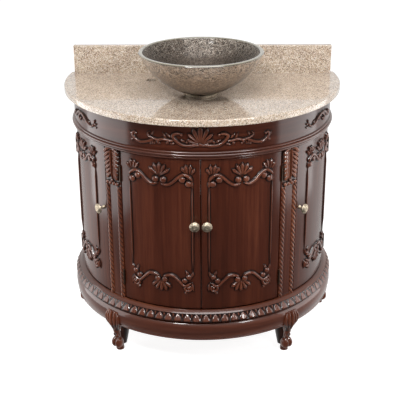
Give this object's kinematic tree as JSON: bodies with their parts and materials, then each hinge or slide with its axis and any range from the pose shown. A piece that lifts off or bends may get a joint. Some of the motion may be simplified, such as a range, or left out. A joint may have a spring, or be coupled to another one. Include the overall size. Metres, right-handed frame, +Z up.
{
  "type": "vessel sink vanity",
  "caption": "Half-round carved wooden bathroom vanity on short feet, with curved doors, a stone top with backsplash and a glass vessel sink standing on it.",
  "frame": {"origin": "centre of the bounding box in plan, at floor level", "axes": "+Z up, -Y out of the front of the cabinet, +Y towards the wall, +X to the right seen from the front"},
  "size_m": [0.9398, 0.559, 1.013],
  "materials": {
    "stone": "polished speckled granite",
    "foiled_glass": "glass backed with crackled metallic foil, opaque",
    "chrome": "polished",
    "gasket_rubber": "matt",
    "cherry_wood": "dark cherry stain under glossy lacquer",
    "inside_wood": "plain satin board",
    "aged_brass": "antique, worn relief",
    "bronzed_steel": "dark bronze",
    "steel_plate": "plain",
    "catch_plastic": "matt brown"
  },
  "bodies": {
    "cabinet": {"acanthus_left": "cherry_wood", "acanthus_right": "cherry_wood", "back_panel": "inside_wood", "backsplash": "stone", "base_moulding": "cherry_wood", "base_rail": "cherry_wood", "cabinet_floor": "cherry_wood", "countertop": "stone", "door_catches": "catch_plastic", "drain_body": "chrome", "drain_gasket": "gasket_rubber", "drain_nut": "chrome", "drain_tailpiece": "chrome", "foot_blocks": "inside_wood", "foot_front_left": "cherry_wood", "foot_front_right": "cherry_wood", "foot_rear_left": "cherry_wood", "foot_rear_right": "cherry_wood", "frieze_board": "cherry_wood", "frieze_carving_centre": "cherry_wood", "frieze_carving_left": "cherry_wood", "frieze_carving_right": "cherry_wood", "hinge_pins": "bronzed_steel", "hinge_plates": "bronzed_steel", "mounting_ring": "aged_brass", "partition_left": "inside_wood", "partition_right": "inside_wood", "pilaster_left": "cherry_wood", "pilaster_right": "cherry_wood", "rear_stile_left": "cherry_wood", "rear_stile_right": "cherry_wood", "rope_left_inner": "cherry_wood", "rope_left_outer": "cherry_wood", "rope_right_inner": "cherry_wood", "rope_right_outer": "cherry_wood", "vessel_bowl": "foiled_glass", "waist_moulding": "cherry_wood", "web_frame": "inside_wood"},
    "side_left_door": {"door_side_left": "cherry_wood", "door_carving_side_left": "cherry_wood", "knob_side_left": "aged_brass", "strike_side_left": "steel_plate", "hinge_leaves_side_left": "bronzed_steel"},
    "centre_left_door": {"door_centre_left": "cherry_wood", "door_carving_centre_left": "cherry_wood", "knob_centre_left": "aged_brass", "strike_centre_left": "steel_plate", "hinge_leaves_centre_left": "bronzed_steel"},
    "centre_right_door": {"door_centre_right": "cherry_wood", "door_carving_centre_right": "cherry_wood", "knob_centre_right": "aged_brass", "strike_centre_right": "steel_plate", "hinge_leaves_centre_right": "bronzed_steel"},
    "side_right_door": {"door_side_right": "cherry_wood", "door_carving_side_right": "cherry_wood", "knob_side_right": "aged_brass", "strike_side_right": "steel_plate", "hinge_leaves_side_right": "bronzed_steel"},
    "stopper": {"popup_stopper": "chrome"}
  },
  "joints": [
    {"name": "side_left_door_hinge", "type": "hinge", "parent": "cabinet", "child": "side_left_door", "pos_m": [-0.4338, 0.11961, 0.473], "axis": [0, 0, -1], "range_deg": [0, 100]},
    {"name": "centre_left_door_hinge", "type": "hinge", "parent": "cabinet", "child": "centre_left_door", "pos_m": [-0.25646, -0.16648, 0.473], "axis": [0, 0, -1], "range_deg": [0, 100]},
    {"name": "centre_right_door_hinge", "type": "hinge", "parent": "cabinet", "child": "centre_right_door", "pos_m": [0.25646, -0.16648, 0.473], "axis": [0, 0, 1], "range_deg": [0, 100]},
    {"name": "side_right_door_hinge", "type": "hinge", "parent": "cabinet", "child": "side_right_door", "pos_m": [0.4338, 0.11961, 0.473], "axis": [0, 0, 1], "range_deg": [0, 100]},
    {"name": "stopper_slide", "type": "slide", "parent": "cabinet", "child": "stopper", "axis": [0, 0, 1], "range_m": [0, 0.008]}
  ]
}
